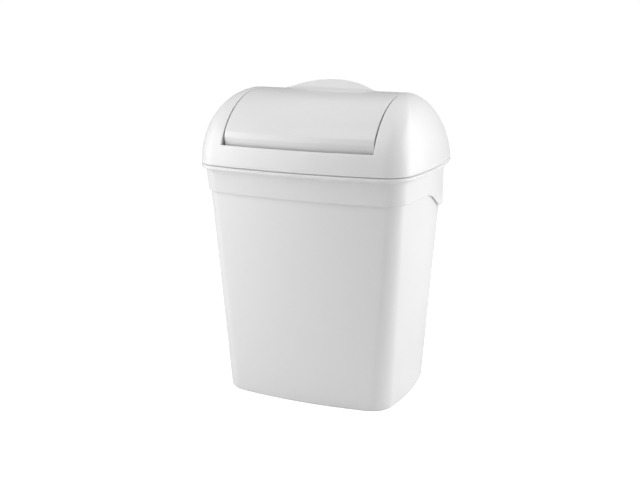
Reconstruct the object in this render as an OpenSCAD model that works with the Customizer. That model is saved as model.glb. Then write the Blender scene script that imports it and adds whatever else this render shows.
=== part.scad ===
// Small indoor waste bin with a lift-off domed hood and a free-swinging flap.
// Z is up, the front faces -Y, and the origin is the middle of the footprint on the floor.

/* [Rim] */
// Width of the rim between its rounded corners' outer faces, without the side bow
rim_w = 221.6; // [210:0.2:230]
// Depth of the rim from corner face to corner face, without the front bow
rim_d = 166.4; // [158:0.2:174]
// Outer radius of the rim's corners
rim_r = 19; // [16:1:24]
// Height of the rim's top face, which the hood stands on
rim_h = 246; // [236:1:270]
// Thickness of the rolled rim
rim_t = 4.4; // [3.6:0.2:5.4]

/* [Plan curves] */
// How far each side bows outwards, as a share of the half width
side_bow = 0.083; // [0.04:0.001:0.1]
// How far the front bows outwards, as a share of the half depth
front_bow = 0.13; // [0.06:0.005:0.15]
// How far the back bows outwards, as a share of the half depth
back_bow = 0.013; // [0.005:0.001:0.03]

/* [Bucket] */
// Half width of the foot at its corners
foot_w = 89.2; // [84:0.2:94]
// Half depth of the foot at its corners
foot_d = 65.1; // [60:0.1:68]
// Radius of the foot's corners
foot_r = 16.7; // [13:0.1:20]
// Radius of the edge between the wall and the base
base_edge = 2.6; // [1.5:0.1:4]
// Half width of the wall where it meets the collar
wall_top_w = 103.3; // [101:0.1:104]
// Half depth of the wall there, towards the front
wall_top_f = 73.5; // [71:0.1:74]
// Half depth of the wall there, towards the back
wall_top_b = 70.7; // [69:0.1:71.2]
// Radius of the wall's corners there
wall_top_r = 12.2; // [10:0.1:14]
// Thickness of the moulded wall
wall = 2.2; // [1.8:0.1:2.6]

/* [Mouth] */
// Half width of the bucket's mouth at its corners
mouth_w = 102.4; // [101:0.1:103]
// Half depth of the mouth towards the front
mouth_f = 76; // [74:0.1:76.4]
// Half depth of the mouth towards the back
mouth_b = 69; // [67:0.1:69.2]
// Radius of the mouth's corners
mouth_r = 11; // [9:0.1:14]

/* [Collar and skirt] */
// Height of the collar's lower edge
collar_h = 217.5; // [212:0.5:222]
// How far the collar's lower edge stands out from the wall
collar_step = 1.8; // [1.4:0.1:2.2]
// Height of the skirt's lower edge across the back
skirt_h = 196; // [190:1:204]
// How far behind the middle the skirt starts to drop
skirt_from = -12; // [-16:1:0]
// Distance over which it drops
skirt_run = 64; // [50:1:68]

/* [Hood] */
// Rise of the dome above the rim
dome_h = 72.8; // [68:0.2:78]
// Half length of the straight part of the crest
crest_w = 82.6; // [82:0.1:86]
// How full the ends of the dome are (2 is an ellipse)
end_power = 2; // [1.7:0.05:2.6]
// How full the dome's front is
front_power = 2.1; // [1.9:0.05:2.4]
// How full the dome's back is
back_power = 1.45; // [1.3:0.05:1.9]
// How far the crest lies behind the middle of the rim
crest_back = 3.5; // [0:0.5:6]
// Depth of the lip that keeps the hood on the bucket
lip_h = 8; // [6:0.5:10]
// Gap between the lip and the bucket's mouth
lip_gap = 0.8; // [0.6:0.1:1.2]

/* [Flap] */
// Half width of the flap
flap_w = 80; // [79:0.1:80.2]
// Gap between each side of the flap and the hood
side_gap = 1.3; // [1:0.1:1.6]
// Height above the rim of the opening's front and back edges
sill_h = 22; // [20:0.5:25]
// How far the flap's lower edge hangs below those edges
flap_tail = 3; // [2:0.5:4]
// Thickness of the flap's skin
skin = 2.2; // [1.8:0.1:2.4]
// How far the flap's lower edge is tucked in behind the hood's face
tuck = 5.6; // [5.2:0.1:6.4]
// Height above the opening's edge where the tuck begins
tuck_from = 13; // [11:1:18]

/* [Finger tab] */
// Half width of the tab at its root
tab_w = 50; // [40:0.2:54]
// Length of the tab from its root to the middle of its free edge
tab_l = 17.2; // [12:0.2:20]
// Thickness of the tab
tab_t = 2.6; // [2.2:0.1:3.4]
// How far the tab leans back from upright, in degrees
tab_lean = 55; // [40:1:65]

/* [Pivot] */
// Radius of the pivot pins
pin_r = 3; // [2.5:0.25:3.5]
// Radial running clearance of the pins in the hood's lugs
pin_clearance = 0.06; // [0.03:0.01:0.09]
// Distance of the pivot axis below the crest
pivot_drop = 13.2; // [12.8:0.1:15]
// Distance of the pivot axis in front of the crest
pivot_forward = 13.5; // [11:0.1:16]
// Radius of the lugs and bosses around the pins
lug_r = 8; // [7:0.5:8.5]

/* [Hidden] */

arc_n = 6;        // steps round each corner
side_n = 6;       // steps along each side
dome_n = 14;      // rings up the dome
sections = 12;    // sections across the flap
arch_n = 28;      // steps along a cross-section of the dome
skirt_in = 5.9;   // inset of the skirt from the rim, at the sides
skirt_back = 6.8; // inset of the skirt from the rim, at the back
skirt_r = 16;     // radius of the skirt's corners
pocket_gap = 3;   // distance from the rim's underside to the top of the pocket behind the skirt
collar_in = 4.4;  // inset of the collar's top from the rim
floor_t = 2.6;    // thickness of the bucket's floor
floor_in = 1.6;   // how far the inside rounds in at the floor
groove = 0.8;     // height of the groove under the collar, and its width
seat_t = 2.2;     // thickness of the hood's seat on the rim
seam_edge = 0.9;  // radius of the edges on both sides of the seam
hood_wall = 2.4;  // thickness of the hood's wall
hood_in = 0.4;    // inset of the hood's foot from the rim
cheek_t = 2.4;    // thickness of the flap's end walls and of the hood's returns
cheek_in = 0.4;   // how far those walls are set in from the edges that they close
return_h = 11;    // depth of the hood's returns along the opening's ends
return_from = 12; // angle from the rim at which the returns start
cheek_from = 40;  // angle from the rim at which the flap's end walls start
tuck_power = 1.3; // how late the tuck sets in
tab_root = 0.5;   // how far the tab's root is sunk in the flap's skin
head_r = 4.6;     // radius of a pin's head
head_t = 1.8;     // thickness of a pin's head
head_gap = 0.2;   // end play between a pin's head and its lug
cut = 1;          // how far a cut runs past the solid that it cuts
short_cut = 0.1;  // the same where another face is close behind

half_w = rim_w / 2;
half_d = rim_d / 2;
// Moves the plan so that the bowed front and the flat back are equally far from the origin
plan_y = half_d * (front_bow - back_bow) / 2;
crest_y = plan_y + crest_back;
crest_z = rim_h + dome_h;
pivot_y = crest_y - pivot_forward;
pivot_z = crest_z - pivot_drop;
sill_z = rim_h + sill_h;
opening_w = flap_w + side_gap;
lug_in = opening_w;
lug_out = opening_w + 2 * cheek_t;
boss_in = flap_w - 3 * cheek_t;
boss_out = flap_w - cheek_in / 2;

// ---- Plan outlines ----

// A corner of a rounded rectangle, counterclockwise from the angle given
function corner(x, y, r, from) =
    [for (i = [0:arc_n]) [x + r * cos(from + 90 * i / arc_n), y + r * sin(from + 90 * i / arc_n)]];

// The points between two corners, without the corners' own ends
function between(p, q) = [for (i = [1:side_n - 1]) p + (q - p) * i / side_n];

// A rounded rectangle, w to each side, f to the front and b to the back
function rectangle(w, f, b, r) =
    let (
        front_left = corner(r - w, r - f, r, 180),
        front_right = corner(w - r, r - f, r, 270),
        back_right = corner(w - r, b - r, r, 0),
        back_left = corner(r - w, b - r, r, 90)
    )
    concat(
        front_left, between(front_left[arc_n], front_right[0]),
        front_right, between(front_right[arc_n], back_right[0]),
        back_right, between(back_right[arc_n], back_left[0]),
        back_left, between(back_left[arc_n], front_left[0])
    );

// The same rectangle with its sides bowed outwards
function outline(w, f, b, r) =
    [for (p = rectangle(w, f, b, r))
        let (
            depth = p.y < 0 ? f : b,
            bow = p.y < 0 ? front_bow : back_bow,
            along = 1 - pow(p.x / w, 2),
            across = 1 - pow(p.y / depth, 2)
        )
        [p.x * (1 + side_bow * across), p.y * (1 + bow * along)]];

// An outline at height z, in the object's own place
function ring(w, f, b, r, z) = [for (p = outline(w, f, b, r)) [p.x, p.y + plan_y, z]];

// The rim's outline drawn in by a distance
function rim_ring(inset, z) =
    ring(half_w - inset, half_d - inset, half_d - inset, rim_r - inset, z);

// ---- Solids from rings ----

// A closed solid through rings of equal length, from its first ring to its last. A ring goes out
// and back in a strip when its second half returns along its first, as a bent sheet's edge does
module loft(rings, strip = false) {
    count = len(rings[0]);
    last = len(rings) - 1;
    points = [for (r = rings) each r];
    sides = [
        for (i = [0:last - 1], j = [0:count - 1])
            let (a = i * count + j, b = i * count + (j + 1) % count)
            each [[a, a + count, b + count], [a, b + count, b]]
    ];
    start = strip
        ? [for (j = [0:count / 2 - 2])
            each [[j, j + 1, count - 2 - j], [j, count - 2 - j, count - 1 - j]]]
        : [[for (j = [0:count - 1]) j]];
    end = [for (f = start) [for (k = [len(f) - 1:-1:0]) last * count + f[k]]];
    polyhedron(points = points, faces = concat(start, sides, end));
}

// ---- Bucket ----

// Wall at height z, drawn in by a distance
function wall_ring(inset, z) =
    let (
        t = z / collar_h,
        w = foot_w + (wall_top_w - foot_w) * t,
        f = foot_d + (wall_top_f - foot_d) * t,
        b = foot_d + (wall_top_b - foot_d) * t,
        r = foot_r + (wall_top_r - foot_r) * t
    )
    ring(w - inset, f - inset, b - inset, r - inset, z);

// The skirt's plan, which stands straight up behind the middle of the bucket
function skirt_ring(inset, z) =
    ring(half_w - skirt_in - inset, half_d - skirt_in - inset, half_d - skirt_back - inset,
        skirt_r - inset, z);

// How much of the skirt's full drop a point has: none at the front, all at the back
function drop(p) =
    let (t = min(1, max(0, (p.y - plan_y - skirt_from) / skirt_run)))
    t * t * (3 - 2 * t);

// A ring that follows the front section at the front and the back section at the back
function blended(front, back) =
    [for (i = [0:len(front) - 1]) front[i] + (back[i] - front[i]) * drop(front[i])];

module bucket() {
    collar_top = rim_h - rim_t;
    pocket_top = collar_top - pocket_gap;
    edge = rim_t / 2;
    edge_rings = [for (a = [-60:30:60]) rim_ring(edge - edge * cos(a), rim_h - edge + edge * sin(a))];
    base_rings = [for (a = [0:30:90]) wall_ring(base_edge * (1 - sin(a)), base_edge * (1 - cos(a)))];
    color("whitesmoke") loft(concat(
        base_rings,
        [
            wall_ring(0, collar_h),
            // groove under the collar at the front, pocket behind the skirt at the back
            blended(wall_ring(0, collar_h + groove), wall_ring(0, pocket_top)),
            blended(wall_ring(-groove, collar_h + groove), skirt_ring(wall, pocket_top)),
            blended(wall_ring(-groove, collar_h), skirt_ring(wall, skirt_h)),
            blended(wall_ring(-collar_step, collar_h), skirt_ring(0, skirt_h)),
            blended(rim_ring(collar_in, collar_top), skirt_ring(0, collar_top)),
            rim_ring(edge, collar_top)
        ],
        edge_rings,
        [
            rim_ring(edge, rim_h),
            mouth_ring(0, rim_h),
            mouth_ring(0, rim_h - lip_h - 2),
            blended(wall_ring(wall - collar_step, collar_h + wall), wall_ring(wall, collar_h + wall)),
            wall_ring(wall, collar_h),
            wall_ring(wall, floor_t + base_edge),
            wall_ring(wall + floor_in, floor_t)
        ]
    ));
}

// The bucket's mouth, drawn in by a distance
function mouth_ring(inset, z) =
    ring(mouth_w - inset, mouth_f - inset, mouth_b - inset, mouth_r - inset, z);

// ---- Hood ----

// The dome at a share s of its height: its ends close in on the crest's straight part,
// and its front and back close in on the crest line
function dome_ring(inset, s) =
    let (
        end = pow(1 - pow(s, end_power), 1 / end_power),
        front = pow(1 - pow(s, front_power), 1 / front_power),
        back = pow(1 - pow(s, back_power), 1 / back_power)
    )
    [for (p = rim_ring(hood_in + inset, rim_h + (dome_h - inset) * s))
        let (
            beyond = max(0, abs(p.x) - crest_w),
            depth = p.y - crest_y
        )
        [p.x - sign(p.x) * beyond * (1 - end), crest_y + depth * (depth < 0 ? front : back), p.z]];

// The dome's cross-section between two angles, from the front over the crest to the back;
// x says how far from the middle it is cut
function dome_arch(inset, x, from, to, n) =
    let (
        across = 1 - pow(x / (half_w - hood_in), 2),
        foot = half_d - hood_in - inset,
        front = foot * (1 + front_bow * across) + crest_y - plan_y,
        back = foot * (1 + back_bow * across) - crest_y + plan_y
    )
    [for (i = [0:n])
        let (
            a = from + (to - from) * i / n,
            power = a < 90 ? front_power : back_power,
            reach = a < 90 ? -front : back
        )
        [crest_y + reach * pow(abs(cos(a)), 2 / power), rim_h + (dome_h - inset) * pow(sin(a), 2 / power)]];

// The angle at which the dome's cross-section passes a height above the rim
function arch_angle(h, power) = asin(pow(h / dome_h, power / 2));

// A plate across X, cut to an outline of [y, z] points
module plate(points, from, to) {
    translate([from, 0, 0])
        rotate([90, 0, 90])
            linear_extrude(to - from) polygon(points);
}

// A round bar along X through the pivot axis
module pivot_bar(r, from, to) {
    translate([from, pivot_y, pivot_z])
        rotate([0, 90, 0]) cylinder(r = r, h = to - from, $fn = 48);
}

// The wall that turns in along one end of the opening, with the lug for its pin
module opening_return() {
    bury = hood_wall / 2;
    outer = dome_arch(bury, opening_w, return_from, 180 - return_from, arch_n);
    inner = dome_arch(return_h, opening_w, 180 - return_from, return_from, arch_n);
    plate(concat(outer, inner), opening_w + cheek_in, opening_w + cheek_in + cheek_t);
    pivot_bar(lug_r, lug_in, lug_out);
}

// The share of the dome's height at its ring number i, with the rings closer together at the top;
// the last one stays just wide enough to close the dome with a flat face
function dome_share(i) = 0.998 * sin(90 * i / dome_n);

module hood() {
    lip_z = rim_h - lip_h;
    color("white") difference() {
        union() {
            difference() {
                loft(concat(
                    [for (i = [dome_n:-1:1]) dome_ring(hood_wall, dome_share(i))],
                    [
                        rim_ring(hood_in + hood_wall, rim_h + seat_t),
                        mouth_ring(lip_gap + wall, rim_h + seat_t),
                        mouth_ring(lip_gap + wall, lip_z),
                        mouth_ring(lip_gap, lip_z),
                        mouth_ring(lip_gap, rim_h),
                        rim_ring(hood_in + seam_edge, rim_h),
                        rim_ring(hood_in, rim_h + seam_edge)
                    ],
                    [for (i = [1:dome_n]) dome_ring(0, dome_share(i))]
                ));
                translate([-opening_w, -half_d * 2, sill_z])
                    cube([2 * opening_w, half_d * 4, dome_h]);
            }
            opening_return();
            mirror([1, 0, 0]) opening_return();
        }
        pivot_bar(pin_r + pin_clearance, lug_in - cut, lug_out + cut);
        mirror([1, 0, 0]) pivot_bar(pin_r + pin_clearance, lug_in - cut, lug_out + cut);
    }
}

// ---- Flap ----

// How far the flap is tucked in at a height
function tuck_in(z) = tuck * pow(max(0, sill_z + tuck_from - z) / tuck_from, tuck_power);

// The flap's skin in cross-section, drawn in by a distance
function flap_arch(inset, x) =
    let (
        low = sill_h - flap_tail,
        from = arch_angle(low, front_power),
        to = 180 - arch_angle(low, back_power)
    )
    [for (p = dome_arch(inset, x, from, to, arch_n))
        [p.x + (p.x < crest_y ? 1 : -1) * tuck_in(p.y), p.y]];

function flap_section(x) =
    let (
        outer = flap_arch(0, x),
        inner = flap_arch(skin, x),
        n = len(outer) - 1
    )
    [for (p = concat(inner, [for (i = [n:-1:0]) outer[i]])) [x, p.x, p.y]];

// An end wall of the flap, with the boss that holds its pin
module cheek() {
    bury = skin / 2;
    outer = dome_arch(bury, flap_w, cheek_from, 180 - cheek_from, arch_n);
    plate(outer, flap_w - cheek_in - cheek_t, flap_w - cheek_in);
    pivot_bar(lug_r, boss_in, boss_out);
}

// The raised tab: a plate that leans back from the crest, with an arc for its free edge
module finger_tab() {
    radius = (tab_w * tab_w + tab_l * tab_l) / (2 * tab_l);
    translate([0, crest_y, crest_z])
        rotate([-tab_lean, 0, 0])
            intersection() {
                translate([0, tab_t, tab_l - radius])
                    rotate([90, 0, 0]) cylinder(r = radius, h = tab_t, $fn = 180);
                translate([-radius, -tab_t, -tab_root])
                    cube([2 * radius, 3 * tab_t, 2 * tab_l]);
            }
}

module flap() {
    step = 2 * flap_w / sections;
    color("white") difference() {
        union() {
            loft([for (i = [0:sections]) flap_section(-flap_w + i * step)], strip = true);
            cheek();
            mirror([1, 0, 0]) cheek();
            finger_tab();
        }
        pivot_bar(pin_r, boss_in - cut, boss_out + short_cut);
        mirror([1, 0, 0]) pivot_bar(pin_r, boss_in - cut, boss_out + short_cut);
    }
}

// ---- Pivot pins ----

// A headed pin, pushed in from the hood's end through the lug into the flap's boss
module pivot_pin() {
    head = lug_out + head_gap;
    pivot_bar(pin_r, boss_in, head);
    pivot_bar(head_r, head, head + head_t);
}

module pivot_pin_left() {
    color("gainsboro") mirror([1, 0, 0]) pivot_pin();
}

module pivot_pin_right() {
    color("gainsboro") pivot_pin();
}

bucket();
hood();
flap();
pivot_pin_left();
pivot_pin_right();
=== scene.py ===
"""Swing lid waste bin: bucket, hood and flap as finished mouldings, and a small studio"""

import math

import bmesh
import bpy
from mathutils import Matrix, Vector


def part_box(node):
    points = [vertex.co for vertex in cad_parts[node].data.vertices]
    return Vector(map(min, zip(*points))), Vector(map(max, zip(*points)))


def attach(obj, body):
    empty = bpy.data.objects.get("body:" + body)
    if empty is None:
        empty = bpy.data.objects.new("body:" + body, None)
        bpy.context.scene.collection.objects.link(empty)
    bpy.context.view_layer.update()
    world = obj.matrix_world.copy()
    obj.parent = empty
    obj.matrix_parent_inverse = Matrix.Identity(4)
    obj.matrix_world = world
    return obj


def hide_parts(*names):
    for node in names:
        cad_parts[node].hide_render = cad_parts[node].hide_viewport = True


bl_info = {
    "name": "Swing lid waste bin",
    "version": (1, 0, 0),
    "blender": (4, 5, 0),
    "location": "View3D > Sidebar > Waste bin",
    "description": "Moulds a small waste bin with a lift-off hood and a swinging flap",
    "category": "Add Mesh",
}

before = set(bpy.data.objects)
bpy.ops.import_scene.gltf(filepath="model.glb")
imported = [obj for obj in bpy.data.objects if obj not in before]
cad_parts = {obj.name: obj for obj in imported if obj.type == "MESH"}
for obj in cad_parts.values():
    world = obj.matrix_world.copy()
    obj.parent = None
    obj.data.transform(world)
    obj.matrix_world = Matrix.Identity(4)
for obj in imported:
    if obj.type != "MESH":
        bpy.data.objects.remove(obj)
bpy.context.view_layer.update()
BUCKET_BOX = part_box("bucket")
HOOD_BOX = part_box("hood")
PIN_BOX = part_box("pivot_pin_right")

MM = 0.001
MERGE = 0.01 * MM
ARC_STEPS = 14  # round each corner of the plan
EDGE_STEPS = 34  # along the front and along the back
SIDE_STEPS = 24  # along each side
HOOD_SIDE_OF_CUT = 3  # between a corner of the hood and the end of its opening
RETURN_STEPS = 4  # down the walls turned in at the ends of the hood's opening
FLAP_SECTIONS = 120  # along the flap
PIN_RADIUS = 3 * MM
PIN_CLEARANCE = 0.06 * MM
BORE_SIDES = 48


def size(name, about, default, **more):
    """A length that a user may change"""
    return bpy.props.FloatProperty(
        name=name, description=about, default=default, unit="LENGTH", precision=5, **more
    )


def share(name, about, default):
    """A number without a unit that a user may change"""
    return bpy.props.FloatProperty(name=name, description=about, default=default, precision=3)


def colour(name, about, default):
    return bpy.props.FloatVectorProperty(
        name=name, description=about, default=default, size=3, min=0, max=1, subtype="COLOR"
    )


class BinPlan(bpy.types.PropertyGroup):
    """The plan that the bucket, the hood and the flap share"""

    side_bow: share("Side bow", "How far each side bows out, as a share of the half width", 0.083)
    front_bow: share("Front bow", "How far the front bows out, as a share of the half depth", 0.13)
    back_bow: share("Back bow", "How far the back bows out, as a share of the half depth", 0.013)
    width: size("Rim width", "Width over the rim's corners, without the side bow", 221.6 * MM)
    depth: size("Rim depth", "Depth over the rim's corners, without the bows", 166.4 * MM)
    corner: size("Rim corner", "Outer radius of the rim's corners", 19 * MM)
    height: size("Rim height", "Height of the rim's top face", BUCKET_BOX[1].z)
    rim: size("Rim thickness", "Thickness of the rolled rim", 4.4 * MM)


class BinBucket(bpy.types.PropertyGroup):
    """The bucket, with its collar, rim and skirt"""

    foot_width: size("Foot half width", "Half width of the foot at its corners", 89.2 * MM)
    foot_depth: size("Foot half depth", "Half depth of the foot at its corners", 65.1 * MM)
    foot_corner: size("Foot corner", "Radius of the foot's corners", 16.7 * MM)
    base_edge: size("Base edge", "Radius of the edge between wall and base", 2.6 * MM)
    top_width: size("Top half width", "Half width of the wall under the collar", 103.3 * MM)
    top_front: size("Top half depth, front", "Half depth under the collar, to the front", 73.5 * MM)
    top_back: size("Top half depth, back", "Half depth under the collar, to the back", 70.7 * MM)
    top_corner: size("Top corner", "Radius of the wall's corners under the collar", 12.2 * MM)
    wall: size("Wall", "Thickness of the moulded wall", 2.2 * MM)
    floor: size("Floor", "Thickness of the floor", 2.6 * MM)
    collar: size("Collar height", "Height of the collar's lower edge", 217.5 * MM)
    step: size("Collar step", "How far the collar's lower edge stands out", 1.8 * MM)
    collar_inset: size("Collar inset", "Inset of the collar's top from the rim", 4.4 * MM)
    skirt: size("Skirt height", "Height of the skirt's lower edge across the back", 196 * MM)
    skirt_from: size("Skirt start", "How far behind the middle the skirt starts to drop", -12 * MM)
    skirt_run: size("Skirt run", "Distance over which the skirt drops", 64 * MM)
    skirt_inset: size("Skirt inset", "Inset of the skirt from the rim, at the sides", 5.9 * MM)
    skirt_back: size("Skirt inset, back", "Inset of the skirt from the rim, at the back", 6.8 * MM)
    skirt_corner: size("Skirt corner", "Radius of the skirt's corners", 16 * MM)
    pocket: size("Pocket", "Distance from the rim's underside to the pocket's top", 3 * MM)
    mouth_width: size("Mouth half width", "Half width of the mouth at its corners", 102.4 * MM)
    mouth_front: size("Mouth half depth, front", "Half depth of the mouth, to the front", 76 * MM)
    mouth_back: size("Mouth half depth, back", "Half depth of the mouth, to the back", 69 * MM)
    mouth_corner: size("Mouth corner", "Radius of the mouth's corners", 11 * MM)


class BinLid(bpy.types.PropertyGroup):
    """The hood's dome, and the flap that fills its opening"""

    rise: size("Dome rise", "Rise of the dome above the rim", HOOD_BOX[1].z - BUCKET_BOX[1].z)
    crest: size("Crest half length", "Half length of the straight part of the crest", 82.6 * MM)
    crest_back: size("Crest setback", "How far the crest lies behind the rim's middle", 3.5 * MM)
    end_power: share("End fullness", "How full the dome's ends are, where 2 is an ellipse", 2)
    front_power: share("Front fullness", "How full the dome's front is", 2.1)
    back_power: share("Back fullness", "How full the dome's back is", 1.45)
    inset: size("Hood inset", "Inset of the hood's foot from the rim", 0.4 * MM)
    wall: size("Hood wall", "Thickness of the hood's wall", 2.4 * MM)
    seam: size("Seam edge", "Radius of the hood's lower edge at the seam", 0.9 * MM)
    seam_gap: size("Seam gap", "Height of the gap between the hood's edge and the rim", 0.6 * MM)
    seam_depth: size("Seam depth", "How far that gap runs in", 2.8 * MM)
    lip: size("Lip", "Depth of the lip inside the bucket's mouth", 8 * MM)
    lip_gap: size("Lip gap", "Gap between the lip and the mouth", 0.8 * MM)
    sill: size("Sill", "Height above the rim of the opening's lower edges", 22 * MM)
    opening: size("Opening half width", "Half width of the opening", 81.3 * MM)
    inturn: size("Return", "Depth of the walls turned in at the opening's ends", 11 * MM)
    flap: size("Flap half width", "Half width of the flap", 80 * MM)
    skin: size("Flap skin", "Thickness of the flap's skin", 2.2 * MM)
    tail: size("Flap tail", "How far the flap hangs below the opening's edges", 3 * MM)
    tuck: size("Tuck", "How far the flap's lower edge is set in behind the hood", 5.6 * MM)
    tuck_from: size("Tuck start", "Height above the sill where the tuck begins", 13 * MM)
    tuck_bend: size("Tuck bend", "Height above the sill where the tuck grows steeper", 7.5 * MM)
    tuck_first: size("First tuck", "How far the flap is set in at the second bend", 1.6 * MM)
    tab_width: size("Tab half width", "Half width of the finger tab at its root", 50 * MM)
    tab_length: size("Tab length", "Length of the finger tab up its face", 17.2 * MM)
    tab_thick: size("Tab thickness", "Thickness of the finger tab", 2.6 * MM)
    tab_lean: bpy.props.FloatProperty(
        name="Tab lean",
        description="How far the finger tab leans back from upright",
        default=math.radians(55),
        subtype="ANGLE",
    )
    tab_sweep: size("Tab sweep", "Length of the sweep from the flap up the tab's face", 15 * MM)
    lug: size("Lug radius", "Radius of the lugs and bosses round the pins", 8 * MM)


class BinFinish(bpy.types.PropertyGroup):
    """The plastics"""

    bucket: colour("Bucket", "Colour of the bucket", (0.84, 0.84, 0.84))
    hood: colour("Hood", "Colour of the hood", (0.86, 0.86, 0.86))
    flap: colour("Flap", "Colour of the flap", (0.85, 0.85, 0.85))
    pin: colour("Pins", "Colour of the pivot pins", (0.72, 0.72, 0.70))


class BinStudio(bpy.types.PropertyGroup):
    """Camera and light"""

    azimuth: bpy.props.FloatProperty(
        name="Azimuth",
        description="How far to the right of the front the camera stands",
        default=math.radians(23.3),
        subtype="ANGLE",
    )
    elevation: bpy.props.FloatProperty(
        name="Elevation",
        description="How far above the level the camera stands",
        default=math.radians(14.0),
        subtype="ANGLE",
    )
    distance: size("Distance", "Distance of the camera from its target", 1.077)
    target: bpy.props.FloatVectorProperty(
        name="Target",
        description="The point at the middle of the picture",
        default=(-0.0095, 0.00487, 0.1575),
        size=3,
        subtype="TRANSLATION",
    )
    lens: bpy.props.FloatProperty(
        name="Lens", description="Focal length in millimetres", default=56.3
    )
    ambient: share("Ambient light", "Strength of the even light from all round", 0.2)


# ---- Plan outlines and rings ----


def smooth(t):
    t = min(1, max(0, t))
    return t * t * (3 - 2 * t)


def mix(a, b, t):
    return a + (b - a) * t


def steps(a, b, count):
    """Numbers from a to b, both ends included"""
    return [mix(a, b, i / count) for i in range(count + 1)]


def through(marks, counts):
    """Numbers from mark to mark, with so many steps between each two"""
    numbers = marks[:1]
    for a, b, count in zip(marks, marks[1:], counts):
        numbers += steps(a, b, count)[1:]
    return numbers


class Shape:
    """The rings that the mouldings are drawn through"""

    def __init__(self, scene):
        self.plan, self.bucket, self.lid = scene.bin_plan, scene.bin_bucket, scene.bin_lid
        self.half_w, self.half_d = self.plan.width / 2, self.plan.depth / 2
        # Moves the plan so that the bowed front and the flat back are equally far from the origin
        self.shift = self.half_d * (self.plan.front_bow - self.plan.back_bow) / 2
        self.crest_y = self.shift + self.lid.crest_back
        self.rim_z = self.plan.height
        self.crest_z = self.rim_z + self.lid.rise
        self.sill_z = self.rim_z + self.lid.sill

    def edge(self, reach, cut):
        """Places of the points along the front edge, its two ends left out"""
        if cut is None:
            return steps(-reach, reach, EDGE_STEPS)[1:-1]
        middle = EDGE_STEPS - 2 * HOOD_SIDE_OF_CUT
        left = steps(-reach, -cut, HOOD_SIDE_OF_CUT)[1:]
        return left + steps(-cut, cut, middle)[1:-1] + [-x for x in reversed(left)]

    def outline(self, w, f, b, r, z, cut=None):
        """A rounded rectangle with bowed faces, anticlockwise from its left front corner"""

        def corner(x, y, start):
            return [
                (x + r * math.cos(a), y + r * math.sin(a))
                for a in steps(math.radians(start), math.radians(start + 90), ARC_STEPS)
            ]

        front = self.edge(w - r, cut)
        up = steps(r - f, b - r, SIDE_STEPS)[1:-1]
        points = corner(r - w, r - f, 180) + [(x, -f) for x in front]
        points += corner(w - r, r - f, 270) + [(w, y) for y in up]
        points += corner(w - r, b - r, 0) + [(-x, b) for x in front]
        points += corner(r - w, b - r, 90) + [(-w, y) for y in reversed(up)]
        ring = []
        for x, y in points:
            depth, bow = (f, self.plan.front_bow) if y < 0 else (b, self.plan.back_bow)
            along, across = 1 - (x / w) ** 2, 1 - (y / depth) ** 2
            bowed_x, bowed_y = x * (1 + self.plan.side_bow * across), y * (1 + bow * along)
            ring.append(Vector((bowed_x, bowed_y + self.shift, z)))
        return ring

    def rim(self, inset, z, cut=None):
        w, d, r = self.half_w - inset, self.half_d - inset, self.plan.corner - inset
        return self.outline(w, d, d, r, z, cut)

    def wall(self, inset, z):
        b = self.bucket
        t = z / b.collar
        return self.outline(
            mix(b.foot_width, b.top_width, t) - inset,
            mix(b.foot_depth, b.top_front, t) - inset,
            mix(b.foot_depth, b.top_back, t) - inset,
            max(mix(b.foot_corner, b.top_corner, t) - inset, MM),
            z,
        )

    def mouth(self, inset, z, cut=None):
        b = self.bucket
        return self.outline(
            b.mouth_width - inset,
            b.mouth_front - inset,
            b.mouth_back - inset,
            b.mouth_corner - inset,
            z,
            cut,
        )

    def skirt(self, inset, z):
        b = self.bucket
        return self.outline(
            self.half_w - b.skirt_inset - inset,
            self.half_d - b.skirt_inset - inset,
            self.half_d - b.skirt_back - inset,
            b.skirt_corner - inset,
            z,
        )

    def behind(self, front, back):
        """A ring that follows one section at the front and another where the skirt hangs"""
        b = self.bucket
        return [
            p.lerp(q, smooth((p.y - self.shift - b.skirt_from) / b.skirt_run))
            for p, q in zip(front, back)
        ]

    def dome(self, s):
        """The dome at a share of its rise: its ends close in on the crest's straight part,
        and its front and back close in on the crest line"""
        lid = self.lid
        end, front, back = (
            max(0, 1 - s**p) ** (1 / p) for p in (lid.end_power, lid.front_power, lid.back_power)
        )
        ring = self.rim(lid.inset, self.rim_z + lid.rise * s, cut=lid.opening)
        for p in ring:
            beyond = max(0, abs(p.x) - lid.crest)
            p.x -= math.copysign(beyond * (1 - end), p.x)
            depth = p.y - self.crest_y
            p.y = self.crest_y + depth * (front if depth < 0 else back)
        return ring

    def reach(self, x, inset, to_front):
        """How far the dome's foot lies from the crest line in the section at x"""
        across = 1 - (x / (self.half_w - self.lid.inset)) ** 2
        foot = self.half_d - self.lid.inset - inset
        if to_front:
            return foot * (1 + self.plan.front_bow * across) + self.lid.crest_back
        return foot * (1 + self.plan.back_bow * across) - self.lid.crest_back

    def arch(self, x, inset, angle):
        """The point at an angle on the dome's section at x, from the front over the crest"""
        to_front = angle < math.pi / 2
        power = self.lid.front_power if to_front else self.lid.back_power
        reach = self.reach(x, inset, to_front)
        y = reach * abs(math.cos(angle)) ** (2 / power)
        z = self.rim_z + (self.lid.rise - inset) * abs(math.sin(angle)) ** (2 / power)
        return Vector((x, self.crest_y + (-y if to_front else y), z))


# ---- Modelling by ring and by section ----


def alone(piece=None):
    """Only this piece is selected, or nothing"""
    if bpy.context.object and bpy.context.object.mode != "OBJECT":
        bpy.ops.object.mode_set(mode="OBJECT")
    bpy.ops.object.select_all(action="DESELECT")
    if piece:
        piece.select_set(True)
        bpy.context.view_layer.objects.active = piece


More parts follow.
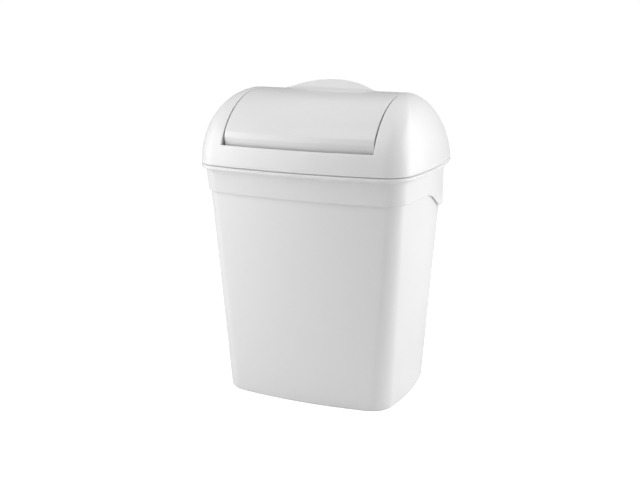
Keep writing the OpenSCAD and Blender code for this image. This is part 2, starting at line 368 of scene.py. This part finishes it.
def draw_through(name, rings, close=True):
    """A circle is drawn out ring by ring, and its first and last ring are filled"""
    alone()
    bpy.ops.mesh.primitive_circle_add(vertices=len(rings[0]), radius=rings[0][0].length)
    piece = bpy.context.object
    piece.name = piece.data.name = name
    order = piece.data.attributes.new("order", "INT", "POINT")
    order.data.foreach_set("value", range(len(rings[0])))
    bpy.ops.object.mode_set(mode="EDIT")
    bpy.ops.mesh.select_mode(type="VERT")
    for i, ring in enumerate(rings):
        if i:
            bpy.ops.mesh.extrude_edges_move()
        shape = bmesh.from_edit_mesh(piece.data)
        around = shape.verts.layers.int["order"]
        for v in shape.verts:
            if v.select:
                v.co = ring[v[around]]
        if close and i in (0, len(rings) - 1):
            bpy.ops.mesh.edge_face_add()
    bpy.ops.mesh.select_all(action="SELECT")
    bpy.ops.mesh.remove_doubles(threshold=MERGE)
    bpy.ops.mesh.normals_make_consistent(inside=False)
    bpy.ops.object.mode_set(mode="OBJECT")
    piece.data.attributes.remove(piece.data.attributes["order"])
    return piece


def select_faces(piece, test):
    """In edit mode, the faces whose middle passes the test are selected"""
    alone(piece)
    bpy.ops.object.mode_set(mode="EDIT")
    bpy.ops.mesh.select_mode(type="FACE")
    bpy.ops.mesh.select_all(action="DESELECT")
    shape = bmesh.from_edit_mesh(piece.data)
    for f in shape.faces:
        f.select = test(f.calc_center_median())
    shape.select_flush_mode()
    bmesh.update_edit_mesh(piece.data)


def bar(name, radius, ends, centre, around=64):
    """A round bar along X"""
    alone()
    start, end = sorted(ends)
    bpy.ops.mesh.primitive_cylinder_add(
        vertices=around,
        radius=radius,
        depth=end - start,
        location=((start + end) / 2, centre.y, centre.z),
        rotation=(0, math.pi / 2, 0),
    )
    piece = bpy.context.object
    piece.name = piece.data.name = name
    bpy.ops.object.transform_apply(location=True, rotation=True, scale=True)
    return piece


def apply(piece, kind, **settings):
    """Adds a modifier and applies it"""
    alone(piece)
    modifier = piece.modifiers.new(kind.title(), kind)
    for key, value in settings.items():
        setattr(modifier, key, value)
    bpy.ops.object.modifier_apply(modifier=modifier.name)


def soften(piece, width, degrees=50):
    apply(
        piece,
        "BEVEL",
        width=width,
        segments=3,
        limit_method="ANGLE",
        angle_limit=math.radians(degrees),
        use_clamp_overlap=False,
        miter_outer="MITER_ARC",
    )


def combine(piece, other, how):
    """Joins another closed piece to this one, or cuts it out of it, and uses it up"""
    apply(piece, "BOOLEAN", operation=how, solver="EXACT", object=other)
    bpy.data.objects.remove(other)


def finish(piece, body, material, slot, node, degrees=35):
    """Shades a piece, gives it its finish and hangs it on its body in place of its CAD node"""
    alone(piece)
    bpy.ops.object.shade_smooth_by_angle(angle=math.radians(degrees))
    piece.data.materials.clear()
    piece.data.materials.append(material)
    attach(piece, body)
    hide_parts(node)


# ---- Finishes ----


class Value:
    """A number or colour that changes over a surface, for use in expressions"""

    def __init__(self, finish, socket):
        self.finish, self.socket = finish, socket

    def math(self, operation, a, b):
        return self.finish.node("ShaderNodeMath", {"operation": operation}, {0: a, 1: b})

    def __add__(self, other):
        return self.math("ADD", self, other)

    __radd__ = __add__

    def __mul__(self, other):
        return self.math("MULTIPLY", self, other)

    __rmul__ = __mul__


class Finish:
    """A material whose nodes are added as its expressions are written"""

    def __init__(self, name):
        self.material = bpy.data.materials.new(name)
        self.material.use_nodes = True
        self.tree = self.material.node_tree
        self.shader = self.tree.nodes["Principled BSDF"]
        self.place = self.node("ShaderNodeTexCoord", {}, {}, "Object")

    def feed(self, node, inputs):
        for key, value in inputs.items():
            if isinstance(value, Value):
                self.tree.links.new(value.socket, node.inputs[key])
            else:
                node.inputs[key].default_value = value

    def node(self, kind, settings, inputs, output=0):
        node = self.tree.nodes.new(kind)
        stops = settings.pop("stops", None)
        for key, value in settings.items():
            setattr(node, key, value)
        if stops:
            ramp = node.color_ramp.elements
            while len(ramp) < len(stops):
                ramp.new(0.5)
            for element, (position, level) in zip(ramp, stops):
                element.position = position
                element.color = (level, level, level, 1)
        self.feed(node, inputs)
        return Value(self, node.outputs[output])

    def noise(self, scale, detail=2, roughness=0.5, stretch=(1, 1, 1)):
        """Cloudy noise between 0 and 1, with its grain drawn out along an axis"""
        place = self.node("ShaderNodeMapping", {}, {"Vector": self.place, "Scale": stretch})
        return self.node(
            "ShaderNodeTexNoise",
            {},
            {"Vector": place, "Scale": scale, "Detail": detail, "Roughness": roughness},
        )

    def ramp(self, value, *stops):
        return self.node("ShaderNodeValToRGB", {"stops": stops}, {"Fac": value})

    def blend(self, factor, a, b):
        """Two colours mixed by a factor"""
        return self.node(
            "ShaderNodeMix", {"data_type": "RGBA"}, {0: factor, 6: a, 7: b}, output=2
        )

    def height(self):
        return self.node("ShaderNodeSeparateXYZ", {}, {"Vector": self.place}, "Z")

    def bump(self, height, distance, strength=1.0, normal=None):
        inputs = {"Height": height, "Distance": distance, "Strength": strength}
        if normal:
            inputs["Normal"] = normal
        return self.node("ShaderNodeBump", {}, inputs)

    def set(self, inputs):
        self.feed(self.shader, inputs)
        return self.material


def shade(rgb, factor):
    return (*(c * factor for c in rgb), 1)


def moulded_plastic(name, rgb, gloss, grain, scuffs):
    """White injection-moulded plastic: a satin face with the tool's fine grain, faint flow
    marks from the gate, a slow ripple, and hair scratches where hands and mops touch it"""
    f = Finish(name)
    cloud = f.noise(9, 3, 0.55)
    flow = f.noise(26, 4, 0.6, stretch=(1.0, 1.0, 0.22))
    speck = f.noise(1900, 1, 0.4)
    ripple = f.noise(38, 1, 0.3)
    peel = f.noise(420, 1, 0.4)
    hair = f.ramp(f.noise(120, 3, 0.6, stretch=(9.0, 9.0, 0.35)), (0.60, 0), (0.72, 1))
    cross = f.ramp(f.noise(90, 3, 0.6, stretch=(0.4, 0.4, 14.0)), (0.62, 0), (0.74, 1))
    z = f.height()
    low = f.ramp(z * 14, (0.0, 1), (0.32, 0))
    worn = (hair + cross) * (0.35 + low * 0.9) * scuffs
    tone = f.blend(cloud * 0.6 + flow * 0.4, shade(rgb, 0.985), shade(rgb, 1.0))
    dust = low * f.ramp(f.noise(70, 4, 0.6), (0.45, 0), (0.75, 1))
    base = f.blend(dust * 0.22 * scuffs, tone, (rgb[0] * 0.9, rgb[1] * 0.88, rgb[2] * 0.84, 1))
    surface = f.bump(ripple, 0.00035, 0.35)
    surface = f.bump(peel + worn * 0.5, 0.00002, 0.5, surface)
    surface = f.bump(speck, 0.000012, grain, surface)
    return f.set(
        {
            "Base Color": base,
            "Roughness": gloss + cloud * 0.05 + speck * 0.04 + worn * 0.12,
            "Normal": surface,
            "IOR": 1.49,
        }
    )


def nylon(name, rgb):
    """Natural nylon of the pins: dull, a little cloudy, with turned rings on the heads"""
    f = Finish(name)
    cloud = f.noise(120, 3, 0.6)
    rings = f.noise(60, 2, 0.5, stretch=(40.0, 1.0, 1.0))
    tone = f.blend(cloud, shade(rgb, 0.93), shade(rgb, 1.03))
    surface = f.bump(rings, 0.00003, 0.4, f.bump(f.noise(1500, 2), 0.00001, 0.5))
    return f.set({"Base Color": tone, "Roughness": 0.42 + cloud * 0.12, "Normal": surface})


# ---- The pieces ----


def bucket_rings(shape):
    """From the middle of the base up the outside, over the rim and down the inside"""
    b, mm = shape.bucket, MM
    low, rim_z = b.collar, shape.rim_z
    collar_top = rim_z - shape.plan.rim
    pocket = collar_top - b.pocket
    edge = shape.plan.rim / 2
    base_middle, floor_middle = 9 * mm, 7 * mm
    rings = [shape.wall(b.base_edge + base_middle, 0)]
    for a in steps(0, math.pi / 2, 7):
        rings.append(shape.wall(b.base_edge * (1 - math.sin(a)), b.base_edge * (1 - math.cos(a))))
    rings += [shape.wall(0, z) for z in steps(b.base_edge, low - 0.9 * mm, 20)[1:]]
    # Under the collar: (how far out, how far up) at the front, and the pocket at the back
    under = ((0.0, -0.4, 0.0, -1.6), (0.12, 0.1, 0.3, -0.4), (0.45, 0.34, 0.9, 0.0))
    for out, up, back_out, back_up in under:
        front = shape.wall(-out * mm, low + up * mm)
        rings.append(shape.behind(front, shape.wall(-back_out * mm, pocket + back_up * mm)))
    front, back = shape.wall(-0.7 * mm, low + 0.38 * mm), shape.skirt(b.wall + 0.7 * mm, pocket)
    rings.append(shape.behind(front, back))
    # Down the skirt's inside: (inset, height)
    inner = [(b.wall + 0.2 * mm, pocket - 0.3 * mm)]
    inner += [(b.wall, z) for z in steps(pocket - 1 * mm, b.skirt + 0.7 * mm, 5)]
    inner += [(b.wall - 0.2 * mm, b.skirt + 0.2 * mm), (b.wall - 0.7 * mm, b.skirt)]
    for i, (inset, z) in enumerate(inner):
        t = (i + 1) / len(inner)
        front = shape.wall(-mix(0.7, 1.15, t) * mm, low + mix(0.38, 0.06, t * t) * mm)
        rings.append(shape.behind(front, shape.skirt(inset, z)))
    # Round the lower edges: (inset, how far up) of the skirt's, (how far out, up) of the collar's
    edges = (
        (0.7, 0.0, 1.3, 0.04),
        (0.2, 0.2, 1.55, 0.18),
        (0.0, 0.7, 1.72, 0.42),
        (0.0, 1.4, 1.8, 0.9),
    )
    for inset, up, out, front_up in edges:
        front = shape.wall(-out * mm, low + front_up * mm)
        rings.append(shape.behind(front, shape.skirt(inset * mm, b.skirt + up * mm)))
    start_front = shape.wall(-b.step, low + 0.9 * mm)
    start_back = shape.skirt(0, b.skirt + 1.4 * mm)
    under_rim = collar_top - 1.0 * mm
    end_front, end_back = shape.rim(b.collar_inset, under_rim), shape.skirt(0, under_rim)
    for t in steps(0, 1, 9)[1:]:
        front = [p.lerp(q, t) for p, q in zip(start_front, end_front)]
        back = [p.lerp(q, t) for p, q in zip(start_back, end_back)]
        rings.append(shape.behind(front, back))
    # Fillet under the rim: (how far out, how far down)
    for drawn, down in ((0.25, 0.4), (0.9, 0.05)):
        z = collar_top - down * mm
        front, back = shape.rim(b.collar_inset - drawn * mm, z), shape.skirt(-drawn * mm, z)
        rings.append(shape.behind(front, back))
    for a in steps(-math.pi / 2, math.pi / 2, 14):
        rings.append(shape.rim(edge - edge * math.cos(a), rim_z - edge + edge * math.sin(a)))
    turn = 0.9 * mm
    for a in steps(0, math.pi / 2, 4):
        rings.append(shape.mouth(-turn * (1 - math.sin(a)), rim_z - turn * (1 - math.cos(a))))
    below_lip = 2 * mm
    shoulder = rim_z - shape.lid.lip - below_lip
    rings += [shape.mouth(0, z) for z in steps(rim_z - turn, shoulder, 3)[1:]]
    above = low + b.wall
    inside = shape.behind(shape.wall(b.wall - b.step, above), shape.wall(b.wall, above))
    for t in (0.33, 0.67, 1):
        rings.append([p.lerp(q, t) for p, q in zip(shape.mouth(0, shoulder), inside)])
    rings += [shape.wall(b.wall, z) for z in steps(low, b.floor + b.base_edge, 16)]
    for a in steps(0, math.pi / 2, 4)[1:]:
        turned = b.base_edge * (1 - math.cos(a))
        rings.append(shape.wall(b.wall + turned, b.floor + b.base_edge * (1 - math.sin(a))))
    rings.append(shape.wall(b.wall + b.base_edge + floor_middle, b.floor))
    return rings


class BIN_OT_bucket(bpy.types.Operator):
    """Mould the bucket with its collar, rolled rim and skirt"""

    bl_idname = "bin.bucket"
    bl_label = "Bucket"

    def execute(self, context):
        shape = Shape(context.scene)
        piece = draw_through("bucket_moulding", bucket_rings(shape))
        plastic = moulded_plastic(
            "Bucket plastic", context.scene.bin_finish.bucket, gloss=0.26, grain=0.5, scuffs=1.0
        )
        finish(piece, "bucket", plastic, "bucket_plastic", "bucket")
        return {"FINISHED"}


def hood_rings(shape):
    """From the lip inside the mouth, out along the seat, round the seam edge and up the dome"""
    lid, rim_z, cut = shape.lid, shape.rim_z, shape.lid.opening
    seat, foot = lid.inset + lid.seam_depth, rim_z + lid.seam_gap
    rings = [shape.mouth(lid.lip_gap, z, cut) for z in steps(rim_z - lid.lip, rim_z, 3)]
    rings += [shape.rim(seat, rim_z, cut), shape.rim(seat, foot, cut)]
    for a in steps(0, math.pi / 2, 4):
        inset = lid.inset + lid.seam * (1 - math.sin(a))
        rings.append(shape.rim(inset, foot + lid.seam * (1 - math.cos(a)), cut))
    sill = lid.sill / lid.rise
    rings += [shape.dome(s) for s in steps((lid.seam_gap + lid.seam) / lid.rise, sill, 6)[1:]]
    rings += [shape.dome(math.sin(a)) for a in steps(math.asin(sill), math.pi / 2, 26)[1:]]
    return rings


class BIN_OT_hood(bpy.types.Operator):
    """Mould the hood with its opening, its returns and the lugs for the pins"""

    bl_idname = "bin.hood"
    bl_label = "Hood"

    def execute(self, context):
        shape = Shape(context.scene)
        lid = shape.lid
        piece = draw_through("hood_moulding", hood_rings(shape), close=False)
        near = 0.02 * MM
        select_faces(
            piece, lambda c: abs(c.x) < lid.opening - near and c.z > shape.sill_z + near
        )
        bpy.ops.mesh.delete(type="FACE")
        bpy.ops.mesh.select_all(action="DESELECT")
        bpy.ops.mesh.select_mode(type="EDGE")
        turned = bmesh.from_edit_mesh(piece.data)
        for e in turned.edges:
            ends = [v.co for v in e.verts]
            at_cut = all(abs(abs(p.x) - lid.opening) < near for p in ends)
            e.select = e.is_boundary and at_cut and min(p.z for p in ends) > shape.sill_z - near
        turned.select_flush_mode()
        bmesh.update_edit_mesh(piece.data)
        for _ in range(RETURN_STEPS):
            bpy.ops.mesh.extrude_edges_move()
            turned = bmesh.from_edit_mesh(piece.data)
            for v in turned.verts:
                if v.select:
                    drawn = lid.inturn / RETURN_STEPS
                    depth = v.co.y - shape.crest_y
                    reach = shape.reach(lid.opening, 0, depth < 0)
                    v.co.y -= depth * drawn / reach
                    v.co.z -= (v.co.z - shape.rim_z) * drawn / lid.rise
            bmesh.update_edit_mesh(piece.data)
        bpy.ops.mesh.select_all(action="SELECT")
        bpy.ops.mesh.normals_make_consistent(inside=False)
        outer = bmesh.from_edit_mesh(piece.data)
        outer.faces.ensure_lookup_table()
        side = max(outer.faces, key=lambda f: f.calc_center_median().x)
        if side.normal.x < 0:
            bpy.ops.mesh.flip_normals()
        bpy.ops.object.mode_set(mode="OBJECT")
        apply(
            piece,
            "SOLIDIFY",
            thickness=lid.wall,
            offset=-1,
            use_even_offset=True,
            use_quality_normals=True,
        )
        soften(piece, 0.5 * MM)
        centre = (PIN_BOX[0] + PIN_BOX[1]) / 2
        lug_end, proud = lid.opening + 2 * lid.wall, 0.05 * MM
        bore = PIN_RADIUS + PIN_CLEARANCE
        for side in (-1, 1):
            lug = bar("lug", lid.lug, (side * (lid.opening - proud), side * lug_end), centre)
            soften(lug, 0.4 * MM)
            combine(piece, lug, "UNION")
            ends = (side * (lid.opening - MM), side * (lug_end + MM))
            combine(piece, bar("bore", bore, ends, centre, BORE_SIDES), "DIFFERENCE")
        plastic = moulded_plastic(
            "Hood plastic", context.scene.bin_finish.hood, gloss=0.24, grain=0.4, scuffs=0.6
        )
        finish(piece, "hood", plastic, "hood_plastic", "hood")
        return {"FINISHED"}


def tab_section(lid, length, sweep, crown):
    """The finger tab in section, as points behind and above the crest: a sweep up from the flap,
    its face, its round edge, its underside and a small fillet down to the flap's back"""
    along = Vector((math.sin(lid.tab_lean), math.cos(lid.tab_lean)))
    out = Vector((-along.y, along.x))
    edge = lid.tab_thick / 2
    tip = length - edge
    swept = 0.62  # share of the face that the sweep takes up
    # Halving the interval finds where the underside meets the flap
    root, high = 0.0, length
    for _ in range(24):
        middle = (root + high) / 2
        under = along * middle - out * lid.tab_thick
        root, high = (middle, high) if under.y < crown(under.x) else (root, middle)
    under = along * root - out * lid.tab_thick
    fillet = 1.6 * MM
    behind = under.x + fillet

    def curve(a, b, c, count):
        return [a.lerp(b, t).lerp(b.lerp(c, t), t) for t in steps(0, 1, count)]

    start, face = Vector((-sweep, crown(-sweep))), along * (tip * swept)
    points = curve(start, Vector((0, 0)), face, 16)
    points += [face.lerp(along * tip, t) for t in steps(0, 1, 5)[1:]]
    centre = along * tip - out * edge
    points += [
        centre + edge * (math.cos(a) * out + math.sin(a) * along) for a in steps(0, math.pi, 9)[1:]
    ]
    lower = [along * mix(tip, root + fillet, t) for t in steps(0, 1, 5)[1:]]
    points += [p - out * lid.tab_thick for p in lower]
    points += curve(points[-1], under, Vector((behind, crown(behind))), 6)[1:]
    return points


def tuck_in(lid, above):
    """How far the flap is set in at a height above the sill, in two flat bands"""
    first = (lid.tuck_from - above) / (lid.tuck_from - lid.tuck_bend)
    if above > lid.tuck_bend:
        return lid.tuck_first * max(0, first)
    return mix(lid.tuck_first, lid.tuck, 1 - above / lid.tuck_bend)


def flap_section(shape, x):
    """The flap cut at x: over its outside from the front's lower edge to the back's,
    and home again along its inside"""
    lid = shape.lid
    low = (lid.sill - lid.tail) / lid.rise
    start = math.asin(low ** (lid.front_power / 2))
    end = math.pi - math.asin(low ** (lid.back_power / 2))
    front, back = shape.reach(x, 0, True), shape.reach(x, 0, False)

    def at_height(above_sill, power):
        return math.asin(((lid.sill + above_sill) / lid.rise) ** (power / 2))

    def crown(u):
        power, reach = (lid.front_power, front) if u < 0 else (lid.back_power, back)
        return lid.rise * ((1 - (abs(u) / reach) ** power) ** (1 / power) - 1)

    radius = (lid.tab_width**2 + lid.tab_length**2) / (2 * lid.tab_length)
    length = lid.tab_length - radius + math.sqrt(max(0, radius**2 - x**2))
    blend = 1.2 * MM
    length = max(length, 0) + blend / 4 * max(0, 1 - abs(length) / blend) ** 2
    least = 6 * MM
    sweep = lid.tab_sweep * (0.4 + 0.6 * math.sqrt(length / lid.tab_length))
    tab = tab_section(lid, max(length, least), sweep, crown)
    grown = length / max(length, least)
    rise_from = math.acos((sweep / front) ** (lid.front_power / 2))
    fall_to = math.pi - math.acos((tab[-1].x / back) ** (lid.back_power / 2))
    # Close rows on both sides of each bend keep it crisp
    bends, sides = (lid.tuck_bend, lid.tuck_from), (-1, -0.3, 0.3, 1)
    rows = [bend + side * MM for bend in bends for side in sides]
    counts = [3, 1, 1, 1, 2, 1, 1, 1, 15]
    up = through([start] + [at_height(h, lid.front_power) for h in rows] + [rise_from], counts)
    down = [math.pi - at_height(h, lid.back_power) for h in reversed(rows)]
    points = [shape.arch(x, 0, a) for a in up[:-1]]
    for u, p in zip(steps(-sweep, tab[-1].x, len(tab) - 1), tab):
        p = Vector((u, crown(u))).lerp(p, grown)
        points.append(Vector((x, shape.crest_y + p.x, shape.crest_z + p.y)))
    points += [shape.arch(x, 0, a) for a in through([fall_to] + down + [end], counts[::-1])[1:]]
    points += [shape.arch(x, lid.skin, a) for a in steps(end, start, 44)]
    for p in points:
        p.y += math.copysign(tuck_in(lid, p.z - shape.sill_z), shape.crest_y - p.y)
    return points


class BIN_OT_flap(bpy.types.Operator):
    """Mould the flap with its finger tab, its end walls and the bosses that hold the pins"""

    bl_idname = "bin.flap"
    bl_label = "Flap"

    def execute(self, context):
        shape = Shape(context.scene)
        lid = shape.lid
        sections = [flap_section(shape, x) for x in steps(-lid.flap, lid.flap, FLAP_SECTIONS)]
        piece = draw_through("flap_moulding", sections)
        soften(piece, 0.7 * MM)
        centre = (PIN_BOX[0] + PIN_BOX[1]) / 2
        cheek_angles = steps(math.radians(40), math.radians(140), 30)
        cheek_in, cheek_out = lid.flap - 2.8 * MM, lid.flap - 0.4 * MM
        boss_in, boss_out = lid.flap - 7.2 * MM, lid.flap - 0.2 * MM
        for side in (-1, 1):
            cheek = []
            for x in (cheek_in, cheek_out):
                cheek.append([shape.arch(lid.flap, lid.skin / 2, a) for a in cheek_angles])
                for p in cheek[-1]:
                    p.x = side * x
            wall = draw_through("cheek", cheek)
            soften(wall, 0.3 * MM)
            combine(piece, wall, "UNION")
            boss = bar("boss", lid.lug, (side * boss_in, side * boss_out), centre)
            soften(boss, 0.4 * MM)
            combine(piece, boss, "UNION")
            ends = (side * (boss_in - MM), side * (lid.flap + MM))
            combine(piece, bar("bore", PIN_RADIUS, ends, centre, BORE_SIDES), "DIFFERENCE")
        plastic = moulded_plastic(
            "Flap plastic", context.scene.bin_finish.flap, gloss=0.17, grain=0.15, scuffs=0.5
        )
        finish(piece, "flap", plastic, "flap_plastic", "flap")
        return {"FINISHED"}


class BIN_OT_pins(bpy.types.Operator):
    """Give the pivot pins their nylon finish"""

    bl_idname = "bin.pins"
    bl_label = "Pivot pins"

    def execute(self, context):
        material = nylon("Pin nylon", context.scene.bin_finish.pin)
        for name in ("pivot_pin_left", "pivot_pin_right"):
            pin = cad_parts[name]
            pin.data.materials.clear()
            pin.data.materials.append(material)
        return {"FINISHED"}


class BIN_OT_studio(bpy.types.Operator):
    """Set up the floor, the soft lights and the camera"""

    bl_idname = "bin.studio"
    bl_label = "Studio"

    def execute(self, context):
        scene, studio = context.scene, context.scene.bin_studio
        scene.view_settings.view_transform = "Standard"
        self.floor()
        self.surround(scene, studio.ambient)
        target = Vector(studio.target)
        # Degrees to the right of the front, height, distance from the axis, size and watts
        for name, azimuth, height, away, wide, tall, power in (
            ("Left softbox", -60, 0.40, 0.8, 0.5, 0.8, 0.95),
            ("Left front softbox", -35, 0.42, 1.1, 0.6, 0.9, 2.25),
            ("Close left softbox", -60, 0.35, 0.55, 0.3, 0.5, 0.9),
            ("Right softbox", 98, 0.40, 1.1, 0.9, 1.3, 5.9),
            ("Right rear softbox", 120, 0.40, 1.1, 1.0, 1.3, 7.6),
            ("Top softbox", 20, 1.5, 0.3, 1.2, 1.2, 2.3),
            ("Top rear softbox", 180, 1.3, 0.4, 1.2, 1.0, 2.25),
            ("Top front softbox", -10, 1.2, 0.7, 0.9, 0.8, 2.65),
        ):
            a = math.radians(azimuth)
            place = Vector((away * math.sin(a), -away * math.cos(a), height))
            bpy.ops.object.light_add(type="AREA", location=place)
            light = context.object
            light.name = light.data.name = name
            light.data.shape = "RECTANGLE"
            light.data.size, light.data.size_y = wide, tall
            light.data.energy = power
            light.rotation_euler = (target - place).to_track_quat("-Z", "Y").to_euler()
        back = Vector(
            (
                math.sin(studio.azimuth) * math.cos(studio.elevation),
                -math.cos(studio.azimuth) * math.cos(studio.elevation),
                math.sin(studio.elevation),
            )
        )
        bpy.ops.object.camera_add(location=target + back * studio.distance)
        camera = context.object
        camera.name = camera.data.name = "Camera"
        camera.data.lens = studio.lens
        camera.rotation_euler = (-back).to_track_quat("-Z", "Y").to_euler()
        scene.camera = camera
        return {"FINISHED"}

    def floor(self):
        """A large pale floor that shows only a faint shadow"""
        alone()
        bpy.ops.mesh.primitive_circle_add(vertices=96, radius=40, fill_type="NGON")
        floor = bpy.context.object
        floor.name = floor.data.name = "floor"
        f = Finish("Studio floor")
        f.set({"Base Color": (0.8, 0.8, 0.8, 1), "Roughness": 0.9, "Specular IOR Level": 0.1})
        seen = f.node("ShaderNodeLightPath", {}, {}, "Is Camera Ray")
        f.set({"Emission Color": seen, "Emission Strength": 0.86})
        floor.data.materials.append(f.material)

    def surround(self, scene, ambient):
        """An even white surround that is brighter to look at than it lights"""
        world = bpy.data.worlds.new("Studio")
        scene.world = world
        world.use_nodes = True
        tree = world.node_tree
        background = tree.nodes["Background"]
        background.inputs["Color"].default_value = (1, 1, 1, 1)
        path = tree.nodes.new("ShaderNodeLightPath")
        level = tree.nodes.new("ShaderNodeMapRange")
        level.inputs["To Min"].default_value = ambient
        level.inputs["To Max"].default_value = 1.0
        tree.links.new(path.outputs["Is Camera Ray"], level.inputs["Value"])
        tree.links.new(level.outputs["Result"], background.inputs["Strength"])


class BIN_PT_panel(bpy.types.Panel):
    """The bin's pieces and their sizes"""

    bl_idname = "BIN_PT_panel"
    bl_label = "Waste bin"
    bl_space_type = "VIEW_3D"
    bl_region_type = "UI"
    bl_category = "Waste bin"

    def draw(self, context):
        for operator in OPERATORS:
            self.layout.operator(operator.bl_idname)
        for name in GROUPS:
            group = getattr(context.scene, name)
            box = self.layout.box()
            for key in group.bl_rna.properties.keys():
                if key not in ("rna_type", "name"):
                    box.prop(group, key)


GROUPS = {
    "bin_plan": BinPlan,
    "bin_bucket": BinBucket,
    "bin_lid": BinLid,
    "bin_finish": BinFinish,
    "bin_studio": BinStudio,
}
OPERATORS = (BIN_OT_studio, BIN_OT_bucket, BIN_OT_hood, BIN_OT_flap, BIN_OT_pins)


def register():
    for kind in (*GROUPS.values(), *OPERATORS, BIN_PT_panel):
        bpy.utils.register_class(kind)
    for name, group in GROUPS.items():
        setattr(bpy.types.Scene, name, bpy.props.PointerProperty(type=group))


def unregister():
    for name in GROUPS:
        delattr(bpy.types.Scene, name)
    for kind in reversed((*GROUPS.values(), *OPERATORS, BIN_PT_panel)):
        bpy.utils.unregister_class(kind)


def main():
    register()
    bpy.ops.bin.studio()
    bpy.ops.bin.bucket()
    bpy.ops.bin.hood()
    bpy.ops.bin.flap()
    bpy.ops.bin.pins()


if __name__ == "__main__":
    main()
